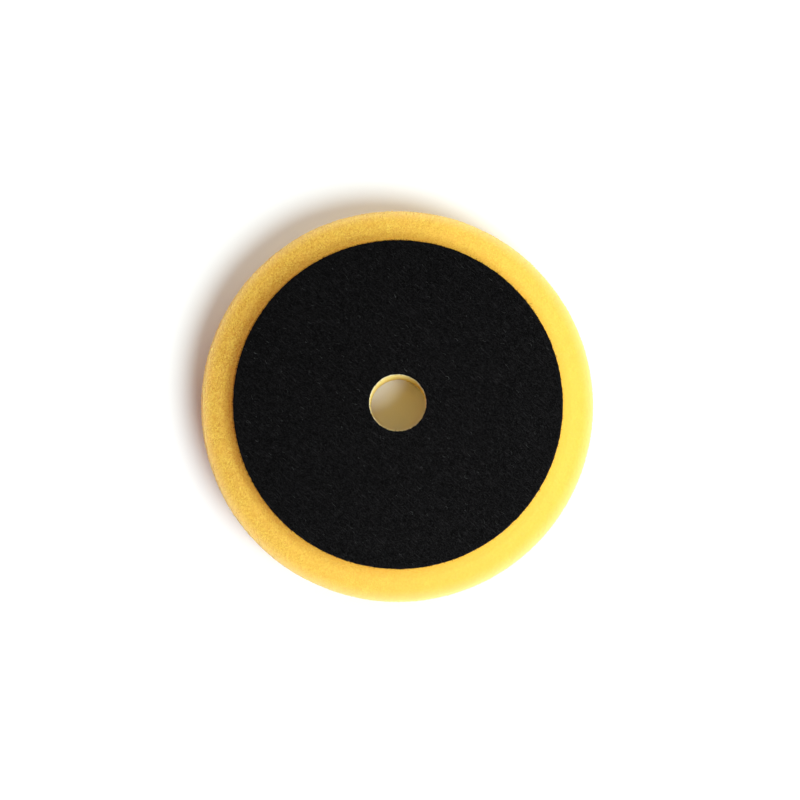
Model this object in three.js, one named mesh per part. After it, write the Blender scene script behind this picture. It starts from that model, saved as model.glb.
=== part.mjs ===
// A hook-and-loop foam polishing pad for a 150 mm backing plate.
//
// It is a bonded stack with a hole through its middle. From the bottom up: a flared disc of
// open-cell foam whose flat underside does the polishing, a film of hot-melt glue, a knitted
// ground cloth, and the pile of loops that grips the hooks of the machine's backing plate.
//
// Millimetres, +Z up. The origin is the centre of the working face, so the foam stands on
// z = 0 and the tips of the loops are at the pad's full height.

import * as THREE from "three";

// Driving dimensions.
const FOAM_DIAMETER = 180;
const FABRIC_DIAMETER = 150;
const HOLE_DIAMETER = 26;

// The thickness of each layer, from the bottom up.
const FOAM_THICKNESS = 25;
const GLUE_THICKNESS = 0.25;
const CLOTH_THICKNESS = 0.55;
const PILE_THICKNESS = 1.7;

// The foam's outline. Each slope is the drop below the horizontal, in degrees.
const SHOULDER_LEDGE = 0.4; // foam left uncovered outside the fabric's edge
const SHOULDER_SLOPE = 75; // where the foam falls away from the fabric's edge
const SHOULDER_FILLET = 6; // hollow rounding from there into the flare
const FLARE_SLOPE = 19; // the flare's straight run out to the rim
const RIM_RADIUS = 1.5; // rounding over the widest edge
const FACE_EDGE_RADIUS = 6; // rounding between the side and the working face

// Facets of the round shapes.
const TURN_SEGMENTS = 96;
const FILLET_STEPS = 8;
const RIM_STEPS = 4;
const FACE_EDGE_STEPS = 7;

const HOLE_RADIUS = HOLE_DIAMETER / 2;
const CLOTH_BOTTOM = FOAM_THICKNESS + GLUE_THICKNESS;
const PILE_BOTTOM = CLOTH_BOTTOM + CLOTH_THICKNESS;
const PILE_TOP = PILE_BOTTOM + PILE_THICKNESS;

// Points of an arc in the (radius, height) plane, with its angles in degrees.
function arcPoints(centre, radius, startDegrees, endDegrees, steps) {
  const start = THREE.MathUtils.degToRad(startDegrees);
  const end = THREE.MathUtils.degToRad(endDegrees);
  const clockwise = endDegrees < startDegrees;
  const arc = new THREE.EllipseCurve(centre.x, centre.y, radius, radius, start, end, clockwise);
  return arc.getPoints(steps);
}

// The point at a distance and an angle from another one, in the (radius, height) plane.
function pointFrom(origin, distance, degrees) {
  const angle = THREE.MathUtils.degToRad(degrees);
  return new THREE.Vector2(distance, 0).rotateAround(new THREE.Vector2(), angle).add(origin);
}

// Turns a closed outline of (radius, height) points, listed anticlockwise, round the Z axis.
function turned(outline) {
  const closed = [...outline, outline[0].clone()];
  return new THREE.LatheGeometry(closed, TURN_SEGMENTS).rotateX(Math.PI / 2);
}

// The hollow rounding under the fabric's edge, listed from the flare up to the shoulder.
function filletPoints() {
  const shoulder = new THREE.Vector2(FABRIC_DIAMETER / 2 + SHOULDER_LEDGE, FOAM_THICKNESS);
  const centre = pointFrom(shoulder, SHOULDER_FILLET, 90 - SHOULDER_SLOPE);
  return arcPoints(centre, SHOULDER_FILLET, 270 - FLARE_SLOPE, 270 - SHOULDER_SLOPE, FILLET_STEPS);
}

// The rounding over the widest edge, listed from the side up to the flare that ends at flareFoot.
function rimPoints(flareFoot) {
  const centreX = FOAM_DIAMETER / 2 - RIM_RADIUS;
  const flareEnd = pointFrom(new THREE.Vector2(centreX, 0), RIM_RADIUS, 90 - FLARE_SLOPE);
  const drop = (flareEnd.x - flareFoot.x) * Math.tan(THREE.MathUtils.degToRad(FLARE_SLOPE));
  const centre = new THREE.Vector2(centreX, flareFoot.y - drop - flareEnd.y);
  return arcPoints(centre, RIM_RADIUS, 0, 90 - FLARE_SLOPE, RIM_STEPS);
}

function foamGeometry() {
  const fillet = filletPoints();
  const faceEdge = new THREE.Vector2(FOAM_DIAMETER / 2 - FACE_EDGE_RADIUS, FACE_EDGE_RADIUS);
  return turned([
    new THREE.Vector2(HOLE_RADIUS, 0),
    ...arcPoints(faceEdge, FACE_EDGE_RADIUS, -90, 0, FACE_EDGE_STEPS),
    ...rimPoints(fillet[0]),
    ...fillet,
    new THREE.Vector2(HOLE_RADIUS, FOAM_THICKNESS),
  ]);
}

// A flat ring of the fabric's outline, between two heights.
function fabricRing(bottom, top) {
  const outerRadius = FABRIC_DIAMETER / 2;
  return turned([
    new THREE.Vector2(HOLE_RADIUS, bottom),
    new THREE.Vector2(outerRadius, bottom),
    new THREE.Vector2(outerRadius, top),
    new THREE.Vector2(HOLE_RADIUS, top),
  ]);
}

function namedMesh(name, geometry, color, roughness) {
  const mesh = new THREE.Mesh(geometry, new THREE.MeshStandardMaterial({ color, roughness, metalness: 0 }));
  mesh.name = name;
  return mesh;
}

const pad = new THREE.Group();
pad.add(
  namedMesh("foam_body", foamGeometry(), 0xf2b52a, 0.95),
  namedMesh("glue_film", fabricRing(FOAM_THICKNESS, CLOTH_BOTTOM), 0x3a2a12, 0.35),
  namedMesh("backing_cloth", fabricRing(CLOTH_BOTTOM, PILE_BOTTOM), 0x0d0d0e, 0.9),
  namedMesh("loop_pile", fabricRing(PILE_BOTTOM, PILE_TOP), 0x131314, 0.85),
);

export default pad;
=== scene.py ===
"""A foam polishing pad with a hook-and-loop back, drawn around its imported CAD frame.

The foam is a turned skin with an uneven surface, open cells in its material and torn struts on
its rim. The fabric is a knitted ground cloth glued to it, with thousands of separate nylon loops
standing on the cloth. Everything is in metres, in the frame of the CAD: the pad lies on its
working face, and +Z points out of the loops.
"""

import math

import bpy
import numpy as np
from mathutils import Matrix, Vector, noise


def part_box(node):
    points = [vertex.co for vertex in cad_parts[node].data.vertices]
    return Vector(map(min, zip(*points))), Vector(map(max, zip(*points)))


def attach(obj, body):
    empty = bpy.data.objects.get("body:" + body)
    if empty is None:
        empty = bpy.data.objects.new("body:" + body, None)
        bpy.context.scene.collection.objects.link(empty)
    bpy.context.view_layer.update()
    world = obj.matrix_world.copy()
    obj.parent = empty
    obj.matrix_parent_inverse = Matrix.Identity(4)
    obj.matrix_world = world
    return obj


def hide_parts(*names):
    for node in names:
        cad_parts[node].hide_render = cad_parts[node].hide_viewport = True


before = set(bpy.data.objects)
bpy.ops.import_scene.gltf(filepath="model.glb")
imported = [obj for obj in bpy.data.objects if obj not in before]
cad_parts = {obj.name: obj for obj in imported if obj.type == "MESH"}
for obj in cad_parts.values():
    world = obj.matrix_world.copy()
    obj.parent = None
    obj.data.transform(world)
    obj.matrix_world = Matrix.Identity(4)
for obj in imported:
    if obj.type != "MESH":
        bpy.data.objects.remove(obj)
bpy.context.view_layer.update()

MM = 0.001
TAU = 2 * math.pi
rng = np.random.default_rng(20)


# ---------------------------------------------------------------- sizes, from the frame

def inner_radius(name):
    """Radius of the hole through a CAD node."""
    return min(math.hypot(v.co.x, v.co.y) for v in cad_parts[name].data.vertices)


FOAM_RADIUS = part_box("foam_body")[1].x
FOAM_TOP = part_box("foam_body")[1].z
FOAM_HOLE = inner_radius("foam_body")
FABRIC_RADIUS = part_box("backing_cloth")[1].x
FABRIC_HOLE = inner_radius("backing_cloth")
CLOTH_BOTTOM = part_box("backing_cloth")[0].z
CLOTH_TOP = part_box("backing_cloth")[1].z
PILE_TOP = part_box("loop_pile")[1].z

# The foam's outline: the same slopes and roundings as its CAD solid.
SHOULDER_LEDGE = 0.4 * MM
SHOULDER_SLOPE = 75
RIM_SLOPE = 19
FLARE_RADIUS = 6 * MM
RIM_RADIUS = 1.5 * MM
FACE_EDGE_RADIUS = 6 * MM

# The punches that cut a pad never line up perfectly: how far off the foam's axis each one was,
# at the fabric, and how much farther the hole has wandered at the working face.
FABRIC_PUNCH = np.array([0.40, -0.10]) * MM
HOLE_PUNCH = np.array([0.29, 0.20]) * MM
HOLE_LEAN = np.array([0.3, -0.1]) * MM


def flare():
    """The flare's corners, each as (radius, height).

    They are the shoulder beside the fabric, the centre and the end of the arc below it, and the
    end and the centre of the rim's arc.
    """
    shoulder = (FABRIC_RADIUS + SHOULDER_LEDGE, FOAM_TOP)
    to_centre = math.radians(90 - SHOULDER_SLOPE)
    centre = (
        shoulder[0] + FLARE_RADIUS * math.cos(to_centre),
        shoulder[1] + FLARE_RADIUS * math.sin(to_centre),
    )
    slope = math.radians(RIM_SLOPE)
    end = (centre[0] - FLARE_RADIUS * math.sin(slope), centre[1] - FLARE_RADIUS * math.cos(slope))
    rim_end_radius = FOAM_RADIUS - RIM_RADIUS + RIM_RADIUS * math.sin(slope)
    rim_end = (rim_end_radius, end[1] - (rim_end_radius - end[0]) * math.tan(slope))
    rim_centre = (FOAM_RADIUS - RIM_RADIUS, rim_end[1] - RIM_RADIUS * math.cos(slope))
    return shoulder, centre, end, rim_end, rim_centre


RIM_HEIGHT = flare()[-1][1]


# ---------------------------------------------------------------- mesh helpers

def add_mesh(name, points, faces, material):
    """A smooth-shaded piece of the pad, riding on the only body."""
    mesh = bpy.data.meshes.new(name)
    mesh.from_pydata(points, [], faces)
    mesh.polygons.foreach_set("use_smooth", np.ones(len(mesh.polygons), bool))
    mesh.materials.append(material)
    piece = bpy.data.objects.new(name, mesh)
    bpy.context.scene.collection.objects.link(piece)
    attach(piece, "root")
    return piece


def line(start, end, step):
    """Points of a straight run in the (radius, height) plane, without its end."""
    count = max(1, round(math.dist(start, end) / step))
    return [tuple(np.array(start) + (np.array(end) - start) * i / count) for i in range(count)]


def arc(centre, radius, start, end, step):
    """Points of an arc in the (radius, height) plane, angles in degrees, without its end."""
    count = max(2, round(abs(math.radians(end - start)) * radius / step))
    angles = [math.radians(start + (end - start) * i / count) for i in range(count)]
    return [(centre[0] + radius * math.cos(a), centre[1] + radius * math.sin(a)) for a in angles]


def bridge(low, low_count, high, high_count):
    """Faces between two rings of vertices. One ring may have twice the other's points."""
    faces = []
    for i in range(min(low_count, high_count)):
        if low_count == high_count:
            j = (i + 1) % low_count
            faces.append((low + i, low + j, high + j, high + i))
        elif low_count > high_count:
            a, b, c = low + 2 * i, low + 2 * i + 1, low + (2 * i + 2) % low_count
            d, e = high + i, high + (i + 1) % high_count
            faces += [(a, b, d), (b, c, e), (b, e, d)]
        else:
            a, b = low + i, low + (i + 1) % low_count
            c, d, e = high + 2 * i, high + 2 * i + 1, high + (2 * i + 2) % high_count
            faces += [(a, d, c), (a, b, d), (b, e, d)]
    return faces


def halved(most, radius, limits):
    """How many points a ring has: the most, halved for each limit that the ring lies within.

    It keeps the facets about as wide on small rings as on large ones.
    """
    return most >> sum(radius <= limit for limit in limits)


def turn(outline, ring_count):
    """Turns a closed outline, listed anticlockwise, round Z.

    ring_count(radius) says how many points a ring of that radius has.
    """
    points, starts, counts = [], [], []
    for radius, height in outline:
        count = ring_count(radius)
        starts.append(len(points))
        counts.append(count)
        angles = TAU * np.arange(count) / count
        points += zip(radius * np.cos(angles), radius * np.sin(angles), np.full(count, height))
    faces = []
    for i in range(len(outline)):
        j = (i + 1) % len(outline)
        faces += bridge(starts[i], counts[i], starts[j], counts[j])
    return np.array(points), faces


def normals_of(points, faces):
    """Vertex normals of a mesh that isn't a piece yet."""
    mesh = bpy.data.meshes.new("scratch")
    mesh.from_pydata(points, [], faces)
    normals = np.zeros(len(points) * 3)
    mesh.vertex_normals.foreach_get("vector", normals)
    bpy.data.meshes.remove(mesh)
    return normals.reshape(-1, 3)


def wave(points, size):
    """Smooth noise from -1 to 1 at each point, with features about size across."""
    return np.array([noise.noise(Vector(p) / size) for p in points])


def around(angle):
    """Two unit vectors at each angle: straight out from the axis, and at a right angle to that."""
    level = np.zeros(len(angle))
    outward = np.column_stack([np.cos(angle), np.sin(angle), level])
    across = np.column_stack([-np.sin(angle), np.cos(angle), level])
    return outward, across


def punched(points):
    """Moves the hole, and the fabric's outer edge, to where their punches really came down."""
    radius = np.hypot(points[:, 0], points[:, 1])
    by_hole = np.clip((FABRIC_RADIUS - radius) / (FABRIC_RADIUS - FABRIC_HOLE), 0, 1)
    shift = by_hole[:, None] * HOLE_PUNCH + (1 - by_hole)[:, None] * FABRIC_PUNCH
    moved = points.copy()
    moved[:, :2] += shift
    return moved


# ---------------------------------------------------------------- materials

def set_inputs(tree, shader, inputs):
    """Gives each input of a node either a value or the socket that feeds it."""
    for key, value in inputs.items():
        if isinstance(value, bpy.types.NodeSocket):
            tree.links.new(value, shader.inputs[key])
        else:
            shader.inputs[key].default_value = value


def node(tree, kind, inputs=None, **settings):
    """Adds a shader node with these settings and inputs."""
    made = tree.nodes.new(kind)
    for key, value in settings.items():
        setattr(made, key, value)
    set_inputs(tree, made, inputs or {})
    return made


def new_material(name):
    """A material with one Principled shader, and the frame's coordinates to pattern it by."""
    material = bpy.data.materials.new(name)
    material.use_nodes = True
    tree = material.node_tree
    shader = tree.nodes["Principled BSDF"]
    place = node(tree, "ShaderNodeTexCoord").outputs["Object"]
    return material, tree, shader, place


def grain(tree, place, size, detail=2.0):
    """Noise from 0 to 1 with features of a size in metres."""
    inputs = {"Vector": place, "Scale": 1 / size, "Detail": detail, "Roughness": 0.6}
    return node(tree, "ShaderNodeTexNoise", inputs).outputs["Fac"]


def cells(tree, place, size):
    """Irregular cells. "Distance" is from a cell's middle, and "Color" is random for each cell."""
    inputs = {"Vector": place, "Scale": 1 / size, "Randomness": 1.0}
    return node(tree, "ShaderNodeTexVoronoi", inputs, feature="F1").outputs


def spread(tree, value, low, high, new_low=0.0, new_high=1.0):
    """Maps a value from one range to another, clamped."""
    ranges = {"From Min": low, "From Max": high, "To Min": new_low, "To Max": new_high}
    return node(tree, "ShaderNodeMapRange", {"Value": value, **ranges}).outputs["Result"]


def arithmetic(tree, operation, first, second):
    """One operation on two numbers."""
    return node(tree, "ShaderNodeMath", {0: first, 1: second}, operation=operation).outputs[0]


def sum_of(tree, total, *others):
    """The sum of several numbers."""
    for other in others:
        total = arithmetic(tree, "ADD", total, other)
    return total


def product(tree, first, second):
    """The product of two numbers."""
    return arithmetic(tree, "MULTIPLY", first, second)


def scaled(tree, vector, factors):
    """A vector with each of its parts multiplied by its own factor."""
    inputs = {0: vector, 1: factors}
    return node(tree, "ShaderNodeVectorMath", inputs, operation="MULTIPLY").outputs["Vector"]


def along(tree, vector, axis):
    """How far a vector goes in the direction of a unit axis."""
    inputs = {0: vector, 1: axis}
    return node(tree, "ShaderNodeVectorMath", inputs, operation="DOT_PRODUCT").outputs["Value"]


def radius_of(tree, place):
    """Distance from the pad's axis."""
    flat = scaled(tree, place, (1, 1, 0))
    return node(tree, "ShaderNodeVectorMath", {0: flat}, operation="LENGTH").outputs["Value"]


def mixed(tree, share, low, high, blend="MIX"):
    """A colour between low and high. Each of them is a colour or a socket."""
    made = node(tree, "ShaderNodeMix", {"Factor": share}, data_type="RGBA", blend_type=blend)
    sockets = [s for s in made.inputs if s.type == "RGBA"]
    for socket, colour in zip(sockets, (low, high)):
        if isinstance(colour, bpy.types.NodeSocket):
            tree.links.new(colour, socket)
        else:
            socket.default_value = (*colour, 1.0)
    return [s for s in made.outputs if s.type == "RGBA"][0]


def tinted(tree, share, colour, tint):
    """A colour multiplied by a tint, as far as share says."""
    return mixed(tree, share, colour, tint, blend="MULTIPLY")


def bump(tree, height, depth, strength=1.0):
    """A bumpy surface normal. The height is a number of depths, and the depth is in metres."""
    inputs = {"Height": height, "Distance": depth, "Strength": strength}
    return node(tree, "ShaderNodeBump", inputs).outputs["Normal"]


FOAM_PORE = (0.660, 0.280, 0.030)
FOAM_STRUT = (1.000, 0.745, 0.128)
FOAM_PATCH = (0.880, 0.490, 0.078)
# Darker, redder tint beside the fabric's edge: partly glue soaked into the foam, partly painted shade
# of the hollow there.
GLUE_AND_SHADE_TINT = (0.80, 0.68, 0.52)
# Painted light on the rim: paler all round its rounding.
PAINTED_RIM_LIGHT = (0.93, 0.65, 0.24)
HOLE_DEEP = (0.84, 0.61, 0.17)
HOLE_MOUTH = (0.74, 0.59, 0.22)
CELL_SIZE = 0.6 * MM
LARGE_CELL_SIZE = 0.8 * MM
PATCH_SIZE = 9 * MM
GLUE_AND_SHADE_WIDTH = 5 * MM
RIM_LIGHT_WIDTH = 6 * MM
FOAM_BUMP = 0.5 * MM
LARGE_CELL_BUMP = 0.2  # beside the 1.0 of the other two parts of the relief
SHADED_SIDE_ANGLE = math.radians(150)  # the side of the pad away from the key light, where the grain's painted shade and its relief are strongest
SHADED_SIDE = (math.cos(SHADED_SIDE_ANGLE), math.sin(SHADED_SIDE_ANGLE), 0)
LEAST_ON_LIT_SIDE = 0.1


def by_the_hole(tree, place, hole):
    """1 within 2 mm of the wall of a hole of this radius, fading to 0 at 4 mm."""
    return spread(tree, radius_of(tree, place), hole + 4 * MM, hole + 2 * MM)


def foam_colour(tree, place, speckle, shaded_side_share):
    """Bright struts round darker pores, in slow patches.

    The foam is deeper and redder beside the fabric's edge, partly where the hot glue soaked in and
    partly as painted shade of the hollow there. Out at the rim it has painted light, a little paler,
    and it has its own two shades down the hole.
    """
    # Painted shade: the contrast between struts and pores is strongest on the side away from the key
    # light, as raking light shows the grain there.
    offset = spread(tree, speckle, 0.0, 1.0, -0.5, 0.5)
    strut = sum_of(tree, product(tree, offset, shaded_side_share), 0.5)
    colour = mixed(tree, strut, FOAM_PORE, FOAM_STRUT)
    patch = spread(tree, grain(tree, place, PATCH_SIZE), 0.35, 0.65, 0.0, 0.35)
    colour = mixed(tree, patch, colour, FOAM_PATCH)
    radius = radius_of(tree, place)
    # Painted shade: darker and redder within a few millimetres of the fabric's edge, partly where glue
    # soaked in.
    outside = spread(tree, radius, FABRIC_RADIUS - 1 * MM, FABRIC_RADIUS)
    near = spread(tree, radius, FABRIC_RADIUS + GLUE_AND_SHADE_WIDTH, FABRIC_RADIUS)
    colour = tinted(tree, product(tree, outside, near), colour, GLUE_AND_SHADE_TINT)
    height = node(tree, "ShaderNodeSeparateXYZ", {0: place}).outputs["Z"]
    # Painted light: paler out at the rim and over its rounding, all round the pad, so it doesn't fall
    # dark away from the key light.
    by_rim = spread(tree, height, RIM_HEIGHT - 2 * MM, RIM_HEIGHT - 0.5 * MM)
    outward = spread(tree, radius, FOAM_RADIUS - RIM_LIGHT_WIDTH, FOAM_RADIUS)
    pale = product(tree, product(tree, outward, outward), by_rim)
    colour = mixed(tree, pale, colour, PAINTED_RIM_LIGHT)
    wall = mixed(tree, spread(tree, height, 0.4 * FOAM_TOP, FOAM_TOP), HOLE_DEEP, HOLE_MOUTH)
    return mixed(tree, by_the_hole(tree, place, FOAM_HOLE), colour, wall)


def foam_material():
    """Open-cell foam, cut through its cells, which lets a little light through."""
    material, tree, shader, place = new_material("golden_foam")
    speckle = cells(tree, place, CELL_SIZE)["Color"]
    large_cell = cells(tree, place, LARGE_CELL_SIZE)["Distance"]
    # The grain's painted contrast and its relief are both strongest on the side away from the key
    # light.
    to_shaded_side = along(tree, place, SHADED_SIDE)
    shaded_side_share = spread(tree, to_shaded_side, -0.7 * FOAM_RADIUS, FOAM_RADIUS, LEAST_ON_LIT_SIDE, 1.0)
    fine = grain(tree, place, CELL_SIZE, 0.0)
    relief = sum_of(tree, speckle, fine, product(tree, large_cell, LARGE_CELL_BUMP))
    set_inputs(tree, shader, {
        "Base Color": foam_colour(tree, place, speckle, shaded_side_share),
        "Roughness": 0.95,
        "Specular IOR Level": 0.15,
        "Subsurface Weight": 0.2,
        "Subsurface Radius": (1.0, 0.55, 0.16),
        "Subsurface Scale": 1.2 * MM,
        "Normal": bump(tree, relief, FOAM_BUMP, shaded_side_share),
    })
    return material


TORN_DARK = (0.95, 0.68, 0.26)
TORN_PAINTED_GLOW = (1.00, 0.88, 0.58)


def torn_material():
    """Single struts of the same foam, painted pale in random patches as light glowing through thin
    struts.
    """
    material, tree, shader, place = new_material("torn_foam")
    share = grain(tree, place, CELL_SIZE)
    set_inputs(tree, shader, {
        # Painted light: random patches painted pale, as light shining through thin struts.
        "Base Color": mixed(tree, spread(tree, share, 0.35, 0.6), TORN_DARK, TORN_PAINTED_GLOW),
        "Roughness": 0.9,
        "Specular IOR Level": 0.15,
        "Normal": bump(tree, share, 0.03 * MM),
    })
    return material


GLUE_DARK = (0.12, 0.07, 0.02)
GLUE_LIGHT = (0.35, 0.20, 0.05)
GLUE_IN_HOLE = (0.80, 0.66, 0.40)


def glue_material():
    """Set hot-melt glue: amber and a little glossy, wrinkled where it was squeezed out.

    Round the hole the punch drew it into a pale lip.
    """
    material, tree, shader, place = new_material("hot_melt_glue")
    wrinkle = grain(tree, place, 0.6 * MM)
    amber = mixed(tree, wrinkle, GLUE_DARK, GLUE_LIGHT)
    in_hole = by_the_hole(tree, place, FABRIC_HOLE)
    set_inputs(tree, shader, {
        "Base Color": mixed(tree, in_hole, amber, GLUE_IN_HOLE),
        "Roughness": spread(tree, wrinkle, 0.3, 0.7, 0.3, 0.5),
        "Normal": bump(tree, wrinkle, 0.1 * MM),
    })
    return material


KNIT_DARK = (0.002, 0.002, 0.0022)
KNIT_LIGHT = (0.007, 0.007, 0.0075)
KNIT_SIZE = 6.3 * MM


def cloth_material():
    """Black warp knit: slanting ribs of yarn, with fuzz over them."""
    material, tree, shader, place = new_material("black_knit")
    pattern = {"Scale": 1 / KNIT_SIZE, "Distortion": 0.6, "Detail": 1.0, "Detail Scale": 4.0}
    inputs = {"Vector": place, **pattern}
    ribs = node(tree, "ShaderNodeTexWave", inputs, bands_direction="DIAGONAL").outputs["Fac"]
    fuzz = grain(tree, place, 0.25 * MM)
    set_inputs(tree, shader, {
        "Base Color": mixed(tree, ribs, KNIT_DARK, KNIT_LIGHT),
        "Roughness": 0.9,
        "Specular IOR Level": 0.12,
        "Normal": bump(tree, sum_of(tree, ribs, fuzz), 0.12 * MM),
    })
    return material


LAY_ANGLE = math.radians(-42)
LAY = (math.cos(LAY_ANGLE), math.sin(LAY_ANGLE), 0)
PILE_SHADE = (0.0018, 0.0018, 0.0018)
PILE_LIGHT = (0.0118, 0.0114, 0.0120)
PILE_STREAK = (0.0200, 0.0188, 0.0198)
# Painted glints of the loops.
PILE_GLINT = (0.030, 0.029, 0.030)
FAR_SIDE_SHADE_TINT = (0.64, 0.64, 0.64)
TUFT_SIZE = 0.5 * MM
STREAK_LENGTH = 5 * MM
STREAK_WIDTH = 0.42 * MM
YARN_GRAIN = 0.2 * MM


def lay_streaks(tree, place):
    """Noise from 0 to 1, drawn out along the lay of the pile."""
    inputs = {"Vector": place, "Angle": -LAY_ANGLE}
    turned = node(tree, "ShaderNodeVectorRotate", inputs, rotation_type="Z_AXIS").outputs[0]
    drawn = scaled(tree, turned, (1 / STREAK_LENGTH, 1 / STREAK_WIDTH, 1 / STREAK_WIDTH))
    inputs = {"Vector": drawn, "Scale": 1.0, "Detail": 1.0}
    return node(tree, "ShaderNodeTexNoise", inputs).outputs["Fac"]


def random_by_loop(tree):
    """A random number from 0 to 1, the same all over one loop."""
    return node(tree, "ShaderNodeNewGeometry").outputs["Random Per Island"]


def pile_material():
    """Near-black nylon yarn: matt, in light and dark tufts, streaked along its lay.

    Half of the loops have painted glints, and the side the lay runs from, away from the key light, has
    painted shade.
    """
    material, tree, shader, place = new_material("black_nylon_pile")
    tuft = spread(tree, grain(tree, place, TUFT_SIZE, 1.0), 0.4, 0.68)
    colour = mixed(tree, tuft, PILE_SHADE, PILE_LIGHT)
    colour = mixed(tree, spread(tree, lay_streaks(tree, place), 0.6, 0.75), colour, PILE_STREAK)
    # Painted glints: half of the loops are lighter, as if catching the light.
    colour = mixed(tree, spread(tree, random_by_loop(tree), 0.5, 1.0), colour, PILE_GLINT)
    # Painted shade: darker towards the side the lay runs from, which is the side away from the key
    # light.
    away_from_key = spread(tree, along(tree, place, LAY), FABRIC_RADIUS, -FABRIC_RADIUS)
    set_inputs(tree, shader, {
        "Base Color": tinted(tree, away_from_key, colour, FAR_SIDE_SHADE_TINT),
        "Roughness": 0.75,
        "Specular IOR Level": 0.015,
        "Normal": bump(tree, grain(tree, place, YARN_GRAIN), 0.06 * MM),
    })
    return material


PULLED_DULL = (0.014, 0.014, 0.014)
PULLED_GLINT = (0.100, 0.100, 0.101)


def pulled_material():
    """Loops pulled out of the pile, a few of them painted much lighter as glints."""
    material, tree, shader, place = new_material("pulled_nylon")
    # Painted glints: a few loops, picked at random, are painted much lighter.
    glint = arithmetic(tree, "POWER", random_by_loop(tree), 3.0)
    set_inputs(tree, shader, {
        "Base Color": mixed(tree, glint, PULLED_DULL, PULLED_GLINT),
        "Roughness": 0.6,
        "Specular IOR Level": 0.05,
        "Normal": bump(tree, grain(tree, place, YARN_GRAIN), 0.02 * MM),
    })
    return material


# ---------------------------------------------------------------- the foam

FOAM_STEP = 0.5 * MM
FACE_STEP = 1.4 * MM
HIDDEN_STEP = 9 * MM
HOLE_BOW = 0.35 * MM
LEAN_WIDTH = 12 * MM


def foam_ring_count(radius):
    """How many points a ring of the foam has."""
    return halved(896, radius, (FABRIC_RADIUS, 52 * MM, 27 * MM))


def foam_outline():
    """The pad's half section, anticlockwise from the bottom of the hole."""
    shoulder, flare_centre, flare_end, rim_end, rim_centre = flare()
    face_edge = (FOAM_RADIUS - FACE_EDGE_RADIUS, FACE_EDGE_RADIUS)
    outline = line((FOAM_HOLE, 0), (face_edge[0], 0), FACE_STEP)
    outline += arc(face_edge, FACE_EDGE_RADIUS, -90, 0, FOAM_STEP)
    outline += line((FOAM_RADIUS, FACE_EDGE_RADIUS), (FOAM_RADIUS, rim_centre[1]), FOAM_STEP)
    outline += arc(rim_centre, RIM_RADIUS, 0, 90 - RIM_SLOPE, FOAM_STEP)
    outline += line(rim_end, flare_end, FOAM_STEP)
    outline += arc(flare_centre, FLARE_RADIUS, 270 - RIM_SLOPE, 270 - SHOULDER_SLOPE, FOAM_STEP)
    outline += line(shoulder, (FOAM_HOLE, FOAM_TOP), HIDDEN_STEP)
    outline += line((FOAM_HOLE, FOAM_TOP), (FOAM_HOLE, 0), FOAM_STEP)
    return outline


def build_foam(material):
    """The foam disc, uneven where it shows, with its hole bowed and punched a little askew."""
    points, faces = turn(foam_outline(), foam_ring_count)
    normals = normals_of(points, faces)
    radius = np.hypot(points[:, 0], points[:, 1])
    shown = np.clip((radius - FABRIC_RADIUS) / MM, 0, 1) * (points[:, 2] > 1 * MM)
    in_hole = radius < FOAM_HOLE + 0.1 * MM
    under = points[:, 2] < FOAM_TOP - 0.1 * MM
    at_rim = radius > FOAM_RADIUS - 1.6 * MM
    # The wander of the cut, then pits as wide as many cells, as two cells, and single torn cells.
    relief = (
        0.20 * MM * wave(points, 26 * MM) * shown
        + 0.09 * MM * wave(points, 5 * MM) * under
        + 0.03 * MM * wave(points, 1.3 * MM) * under
        + (0.05 + 0.05 * at_rim) * MM * rng.standard_normal(len(points)) * under
    )
    bow = HOLE_BOW * np.sin(math.pi * points[:, 2] / FOAM_TOP) * in_hole
    points = points + normals * (relief + bow)[:, None]
    points[:, 2] = np.clip(points[:, 2], 0, FOAM_TOP)
    by_hole = np.clip((FOAM_HOLE + LEAN_WIDTH - radius) / LEAN_WIDTH, 0, 1)
    lean = (1 - points[:, 2] / FOAM_TOP)[:, None] * HOLE_LEAN
    points[:, :2] += by_hole[:, None] * (HOLE_PUNCH + lean)
    foam = add_mesh("foam_disc", points, faces, material)
    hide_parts("foam_body")
    return foam


# ---------------------------------------------------------------- the fabric and its glue

GLUE_LIP = 0.2 * MM
SLAB_STEP = 1.2 * MM
MAT_STEP = 0.9 * MM
MAT_INSET = 0.12 * MM
MAT_SHARE = 0.6  # how much of the pile's height the felted roots fill


def ragged(points, amount, size):
    """Moves points in and out from the axis, as a punched edge wanders, by their angle only."""
    radius = np.hypot(points[:, 0], points[:, 1])
    level = np.zeros(len(points))
    outward = np.column_stack([points[:, 0] / radius, points[:, 1] / radius, level])
    outer_edge = FABRIC_RADIUS * outward
    inner_edge = outer_edge * FABRIC_HOLE / FABRIC_RADIUS
    outer = np.clip((radius - (FABRIC_RADIUS - 3 * MM)) / (3 * MM), 0, 1)
    inner = np.clip(((FABRIC_HOLE + 2 * MM) - radius) / (2 * MM), 0, 1)
    shift = amount * (wave(outer_edge, size) * outer + wave(inner_edge, size) * inner)
    return points + outward * shift[:, None]


def cut_by_punch(points):
    """The fabric's cut edges: a slow wander with finer raggedness on it, set off by the punches."""
    return punched(ragged(ragged(points, 0.12 * MM, 4 * MM), 0.22 * MM, 0.8 * MM))


def fabric_ring_count(radius):
    """How many points a ring of the fabric has."""
    return halved(480, radius, (40 * MM, 20 * MM))


def slab_outline(bottom, top, hole, outer, edge, step):
    """A flat ring's half section with its top edges rounded by edge."""
    outline = line((hole, bottom), (outer, bottom), step)
    outline += line((outer, bottom), (outer, top - edge), step)
    outline += arc((outer - edge, top - edge), edge, 0, 90, step / 4)
    outline += line((outer - edge, top), (hole + edge, top), step)
    outline += arc((hole + edge, top - edge), edge, 90, 180, step / 4)
    outline += line((hole, top - edge), (hole, bottom), step)
    return outline


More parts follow.
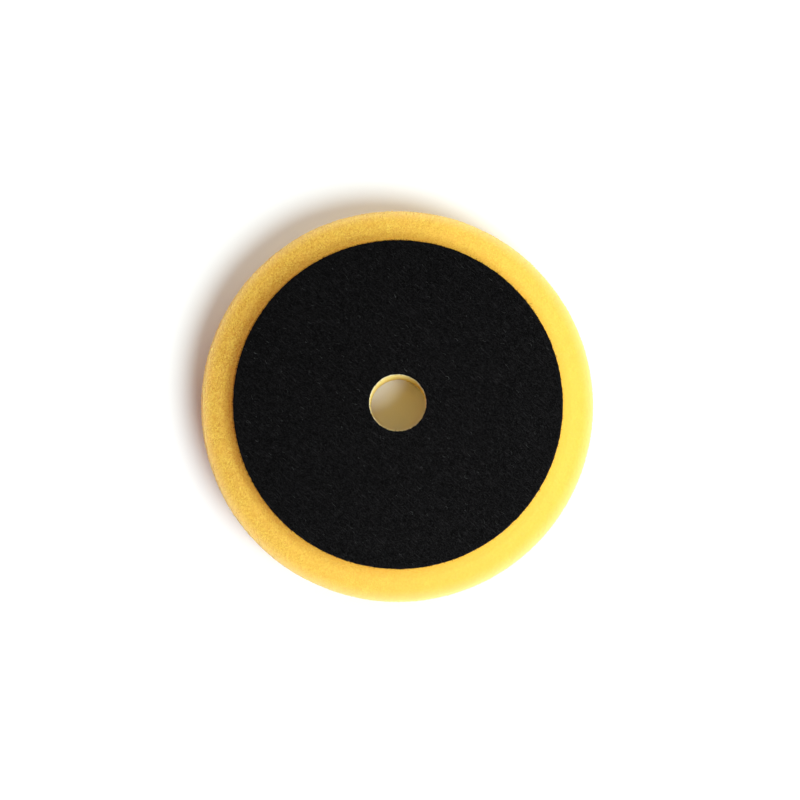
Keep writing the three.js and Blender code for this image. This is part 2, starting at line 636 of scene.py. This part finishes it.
def build_glue(material):
    """The glue film, squeezed out a little past the cloth's edges here and there."""
    hole = FABRIC_HOLE - GLUE_LIP
    outline = slab_outline(FOAM_TOP, CLOTH_BOTTOM, hole, FABRIC_RADIUS, 0.1 * MM, SLAB_STEP)
    points, faces = turn(outline, fabric_ring_count)
    points = punched(ragged(points, 0.3 * MM, 1.6 * MM))
    glue = add_mesh("glue_squeeze_out", points, faces, material)
    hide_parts("glue_film")
    return glue


def build_cloth(material):
    """The knitted cloth that the loops stand on."""
    outline = slab_outline(CLOTH_BOTTOM, CLOTH_TOP, FABRIC_HOLE, FABRIC_RADIUS, 0.2 * MM, SLAB_STEP)
    points, faces = turn(outline, fabric_ring_count)
    cloth = add_mesh("knitted_cloth", cut_by_punch(points), faces, material)
    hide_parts("backing_cloth")
    return cloth


def build_pile_mat(material):
    """The felted roots of the pile, which close the gaps between the loops."""
    top = CLOTH_TOP + MAT_SHARE * (PILE_TOP - CLOTH_TOP)
    hole = FABRIC_HOLE + MAT_INSET
    outline = slab_outline(CLOTH_TOP, top, hole, FABRIC_RADIUS - MAT_INSET, 0.5 * MM, MAT_STEP)
    points, faces = turn(outline, fabric_ring_count)
    points = cut_by_punch(points)
    raised = points[:, 2] > top - 0.2 * MM
    tufts = 0.16 * MM * wave(points, 2.2 * MM)
    fuzz = 0.08 * MM * rng.standard_normal(len(points))
    points[:, 2] += raised * (tufts + fuzz)
    mat = add_mesh("pile_roots", points, faces, material)
    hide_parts("loop_pile")
    return mat


# ---------------------------------------------------------------- loops, yarn ends and torn struts

def tubes(paths, thickness, flats):
    """Closed three-sided tubes along many paths at once. flats holds a direction across each path."""
    count, rings, _ = paths.shape
    tangent = np.gradient(paths, axis=1)
    tangent /= np.linalg.norm(tangent, axis=2, keepdims=True)
    side = np.repeat(flats[:, None, :], rings, axis=1)
    up = np.cross(tangent, side)
    up /= np.linalg.norm(up, axis=2, keepdims=True)
    corners = [TAU * k / 3 for k in range(3)]
    rims = [
        paths + thickness[:, None, None] * (math.cos(a) * side + math.sin(a) * up) for a in corners
    ]
    points = np.stack(rims, axis=2).reshape(-1, 3)
    one_tube = []
    for ring in range(rings - 1):
        for k in range(3):
            a, b = 3 * ring + k, 3 * ring + (k + 1) % 3
            one_tube.append((a, b, b + 3, a + 3))
    starts = 3 * rings * np.arange(count)
    quads = (np.array(one_tube)[None] + starts[:, None, None]).reshape(-1, 4)
    last = 3 * (rings - 1)
    ends = np.array([(2, 1, 0), (last, last + 1, last + 2)])
    caps = (ends[None] + starts[:, None, None]).reshape(-1, 3)
    return points, quads.tolist() + caps.tolist()


LOOP_SPACING = 0.93 * MM
LOOP_RINGS = 6
PULLED_SPACING = 5.0 * MM
LOOPS_PER_PIECE = 5000
STRAND_RINGS = 4
OUTER_FRAYS = 420
INNER_FRAYS = 46
TORN_STRUTS = 4200


def loop_feet(spacing):
    """A jittered grid of places for loops over the fabric, in a random order."""
    steps = np.arange(-FABRIC_RADIUS, FABRIC_RADIUS, spacing)
    x, y = np.meshgrid(steps, steps)
    places = np.column_stack([x.ravel(), y.ravel()])
    places += rng.uniform(-0.5, 0.5, places.shape) * spacing
    radius = np.hypot(places[:, 0], places[:, 1])
    inside = (radius < FABRIC_RADIUS - 0.5 * MM) & (radius > FABRIC_HOLE + 0.5 * MM)
    return rng.permutation(places[inside])


def loop_paths(places, width, tall, wander):
    """Each loop leaves the cloth, leans with the lay of the pile and comes back to the cloth."""
    count = len(places)
    forward, across = around(LAY_ANGLE + rng.normal(0, wander, count))
    lean = rng.normal(0, 0.55, count) * MM
    part_way = np.linspace(0, 1, LOOP_RINGS)
    radius = np.hypot(places[:, 0], places[:, 1])
    room = np.minimum(FABRIC_RADIUS - radius, radius - FABRIC_HOLE)
    fit = np.clip(2 * room / width, 0.25, 1)
    stride = (width * fit)[:, None] * -0.5 * np.cos(math.pi * part_way)
    sway = (lean * fit)[:, None] * np.sin(math.pi * part_way)
    height = tall[:, None] * np.sin(math.pi * part_way) ** 0.7
    paths = stride[..., None] * forward[:, None] + sway[..., None] * across[:, None]
    paths[..., :2] += places[:, None]
    paths[..., 2] = CLOTH_TOP + np.clip(height, 0.02 * MM, None)
    return paths, across


def build_loops(material):
    """The pile's loops, in several pieces so that none has too many faces."""
    places = loop_feet(LOOP_SPACING)
    count = len(places)
    width = rng.uniform(0.7, 1.7, count) * MM
    tall = (PILE_TOP - CLOTH_TOP) * rng.uniform(0.72, 1.0, count)
    paths, across = loop_paths(places, width, tall, 0.45)
    thickness = rng.uniform(0.045, 0.075, count) * MM
    for first in range(0, count, LOOPS_PER_PIECE):
        part = slice(first, first + LOOPS_PER_PIECE)
        points, faces = tubes(paths[part], thickness[part], across[part])
        name = f"pile_loops_{first // LOOPS_PER_PIECE + 1}"
        add_mesh(name, punched(points), faces, material)


def build_pulled_loops(material):
    """A few loops pulled long and flat along the lay, on top of the rest."""
    places = loop_feet(PULLED_SPACING)
    count = len(places)
    width = rng.uniform(0.4, 2.6, count) * MM
    tall = (PILE_TOP - CLOTH_TOP) * rng.uniform(1.0, 1.06, count)
    paths, across = loop_paths(places, width, tall, 0.3)
    points, faces = tubes(paths, rng.uniform(0.035, 0.06, count) * MM, across)
    add_mesh("pulled_loops", punched(points), faces, material)


def strands(start, away, across, reach, sway):
    """Short bent paths: each reaches away from its start and sways to one side."""
    part_way = np.linspace(0, 1, STRAND_RINGS)
    reached = (part_way * reach[:, None])[..., None] * away[:, None]
    swayed = (part_way**2 * sway[:, None])[..., None] * across[:, None]
    return start[:, None] + reached + swayed


def frayed_ends(edge, way, count):
    """Cut yarn ends past a punched edge, as paths and a direction across each.

    way is 1 where they point out from the axis, and -1 where they point into the hole.
    """
    outward, across = around(rng.uniform(0, TAU, count))
    reach = rng.uniform(0.15, 0.75, count) * MM
    sway = rng.normal(0, 0.3, count) * MM
    height = rng.uniform(CLOTH_BOTTOM, CLOTH_TOP, count)
    start = edge * outward + np.array([0, 0, 1]) * height[:, None]
    return strands(start, way * outward, across, reach, sway), across


def build_frayed_ends(material):
    """Yarn ends that stick out of the fabric's two cut edges."""
    outer, outer_across = frayed_ends(FABRIC_RADIUS, 1, OUTER_FRAYS)
    inner, inner_across = frayed_ends(FABRIC_HOLE, -1, INNER_FRAYS)
    paths = np.concatenate([outer, inner])
    across = np.concatenate([outer_across, inner_across])
    points, faces = tubes(paths, rng.uniform(0.05, 0.09, len(paths)) * MM, across)
    add_mesh("frayed_ends", punched(points), faces, material)


def build_torn_struts(material):
    """Torn cell struts that stand off the foam: half of them up its side, half along its rim."""
    outward, across = around(rng.uniform(0, TAU, TORN_STRUTS))
    height = rng.uniform(FACE_EDGE_RADIUS, RIM_HEIGHT, TORN_STRUTS)
    first_at_rim = TORN_STRUTS // 2
    height[first_at_rim:] = RIM_HEIGHT + rng.uniform(-0.3, 0.5, TORN_STRUTS - first_at_rim) * MM
    reach = rng.uniform(0.15, 0.35, TORN_STRUTS) * MM
    sway = rng.normal(0, 0.3, TORN_STRUTS) * MM
    rise = rng.normal(0.05, 0.2, TORN_STRUTS) * MM
    start = outward * (FOAM_RADIUS - 0.15 * MM) + np.array([0, 0, 1]) * height[:, None]
    paths = strands(start, outward, across, reach, sway)
    paths[..., 2] += np.linspace(0, 1, STRAND_RINGS) * rise[:, None]
    points, faces = tubes(paths, rng.uniform(0.05, 0.1, TORN_STRUTS) * MM, across)
    add_mesh("torn_struts", points, faces, material)


# ---------------------------------------------------------------- floor, light and camera

KEY_AZIMUTH = math.radians(311)
KEY_ELEVATION = math.radians(41)
KEY_STRENGTH = 1.44 * math.pi
KEY_COLOUR = (0.86, 1.0, 1.03)
KEY_SPREAD = math.radians(42)

# The room's light, as broad glows: azimuth and elevation in degrees, sharpness and colour. They
# come from the picture's upper right, from overhead, from the left, and from beside the key.
GLOWS = [
    (50, 15, 4, (2.48, 2.78, 2.34)),
    (0, 90, 10, (0.15, 0.17, 0.1)),
    (155, 15, 4, (1.3, 0.82, 1.0)),
    (311, 50, 8, (0.4, 0.0, 0.0)),
]
GROUND_SEEN = 1.1  # just over white, so that the floor runs into it with no horizon
FLOOR_REACH = 40
FLOOR_COLOUR = (0.9, 0.9, 0.9, 1)

CAMERA_TILT = math.radians(4.7)
CAMERA_DISTANCE = 0.85
FRAME_WIDTH = 0.3628
AIM = Vector((1.31 * MM, 1.29 * MM, PILE_TOP))


def build_floor():
    """A large white floor, which can be seen through from below."""
    near, far = -FLOOR_REACH, FLOOR_REACH
    corners = [(near, near, 0), (far, near, 0), (far, far, 0), (near, far, 0)]
    mesh = bpy.data.meshes.new("floor")
    mesh.from_pydata(corners, [], [(0, 1, 2, 3)])
    material = bpy.data.materials.new("white_floor")
    material.use_nodes = True
    tree = material.node_tree
    shader = tree.nodes["Principled BSDF"]
    set_inputs(tree, shader, {"Base Color": FLOOR_COLOUR, "Roughness": 1.0, "Specular IOR Level": 0.0})
    below = node(tree, "ShaderNodeNewGeometry").outputs["Backfacing"]
    clear = node(tree, "ShaderNodeBsdfTransparent").outputs[0]
    inputs = {0: below, 1: shader.outputs[0], 2: clear}
    surface = node(tree, "ShaderNodeMixShader", inputs).outputs[0]
    set_inputs(tree, tree.nodes["Material Output"], {"Surface": surface})
    mesh.materials.append(material)
    floor = bpy.data.objects.new("floor", mesh)
    bpy.context.scene.collection.objects.link(floor)


def direction(azimuth, elevation):
    """The unit vector towards a place in the sky."""
    level = math.cos(elevation)
    return Vector((math.cos(azimuth) * level, math.sin(azimuth) * level, math.sin(elevation)))


def glow(tree, looking, azimuth, elevation, sharpness, colour):
    """A broad glow in the room, brightest in one direction."""
    towards = direction(math.radians(azimuth), math.radians(elevation))
    facing = arithmetic(tree, "MAXIMUM", along(tree, looking, towards), 0.0)
    strength = arithmetic(tree, "POWER", facing, sharpness)
    inputs = {"Color": (*colour, 1), "Strength": strength}
    return node(tree, "ShaderNodeBackground", inputs).outputs[0]


def build_world():
    """Soft light from the room. The camera itself sees plain white."""
    world = bpy.data.worlds.new("studio")
    world.use_nodes = True
    bpy.context.scene.world = world
    tree = world.node_tree
    tree.nodes.clear()
    looking = node(tree, "ShaderNodeTexCoord").outputs["Generated"]
    lit, *others = [glow(tree, looking, *settings) for settings in GLOWS]
    for light in others:
        lit = node(tree, "ShaderNodeAddShader", {0: lit, 1: light}).outputs[0]
    inputs = {"Color": (1, 1, 1, 1), "Strength": GROUND_SEEN}
    seen = node(tree, "ShaderNodeBackground", inputs).outputs[0]
    camera_ray = node(tree, "ShaderNodeLightPath").outputs["Is Camera Ray"]
    surface = node(tree, "ShaderNodeMixShader", {0: camera_ray, 1: lit, 2: seen}).outputs[0]
    node(tree, "ShaderNodeOutputWorld", {"Surface": surface})


def build_key_light():
    """One large soft source, which comes from the lower right of the camera's picture."""
    light = bpy.data.lights.new("key", "SUN")
    light.energy = KEY_STRENGTH
    light.angle = KEY_SPREAD
    light.color = KEY_COLOUR
    key = bpy.data.objects.new("key", light)
    bpy.context.scene.collection.objects.link(key)
    key.rotation_mode = "QUATERNION"
    key.rotation_quaternion = direction(KEY_AZIMUTH, KEY_ELEVATION).to_track_quat("Z", "Y")


def build_camera():
    """Almost straight down, from a little towards -Y."""
    camera = bpy.data.objects.new("camera", bpy.data.cameras.new("camera"))
    bpy.context.scene.collection.objects.link(camera)
    back = Vector((0, -math.sin(CAMERA_TILT), math.cos(CAMERA_TILT)))
    camera.data.lens = camera.data.sensor_width * CAMERA_DISTANCE / FRAME_WIDTH
    camera.location = AIM + back * CAMERA_DISTANCE
    camera.rotation_mode = "QUATERNION"
    camera.rotation_quaternion = (-back).to_track_quat("-Z", "Y")
    bpy.context.scene.camera = camera
    bpy.context.scene.view_settings.view_transform = "Standard"


build_foam(foam_material())
build_torn_struts(torn_material())
build_glue(glue_material())
cloth = cloth_material()
build_cloth(cloth)
build_frayed_ends(cloth)
pile = pile_material()
build_pile_mat(pile)
build_loops(pile)
build_pulled_loops(pulled_material())
build_floor()
build_world()
build_key_light()
build_camera()
